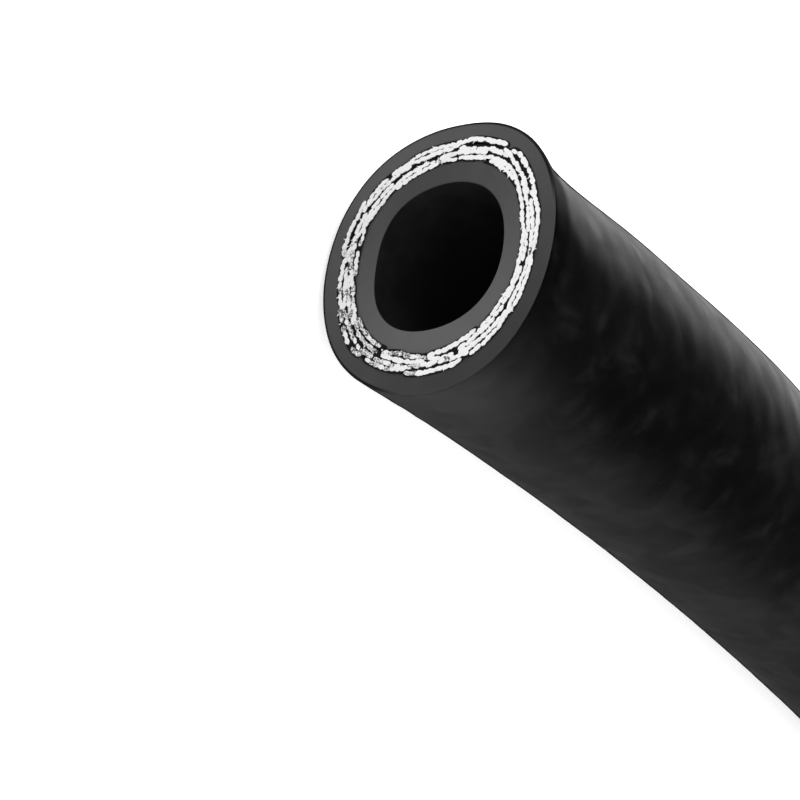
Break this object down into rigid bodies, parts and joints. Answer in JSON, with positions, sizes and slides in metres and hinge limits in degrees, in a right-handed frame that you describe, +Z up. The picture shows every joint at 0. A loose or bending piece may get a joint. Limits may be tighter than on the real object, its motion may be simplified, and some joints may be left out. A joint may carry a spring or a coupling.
{
  "type": "braided hydraulic hose",
  "caption": "cut piece of rubber hydraulic hose with wire braid layers showing in its square cut ends, lying flat with a slight bow",
  "frame": {"origin": "on the floor, under the middle of the hose's bounding box", "axes": "+X from end A to end B, along the chord of the bow; +Y towards the outside of the bow; +Z up, off the floor the hose lies on"},
  "size_m": [0.3072, 0.0416, 0.0228],
  "materials": {
    "tube_rubber": "matte dark grey",
    "braid_steel": "bright drawn wire",
    "bonding_rubber": "matte black",
    "cover_rubber": "satin black, faint wrap marks"
  },
  "bodies": {
    "root": {"inner_tube": "tube_rubber", "inner_wire_braid": "braid_steel", "rubber_interlayer": "bonding_rubber", "outer_wire_braid": "braid_steel", "cover": "cover_rubber"}
  },
  "joints": []
}
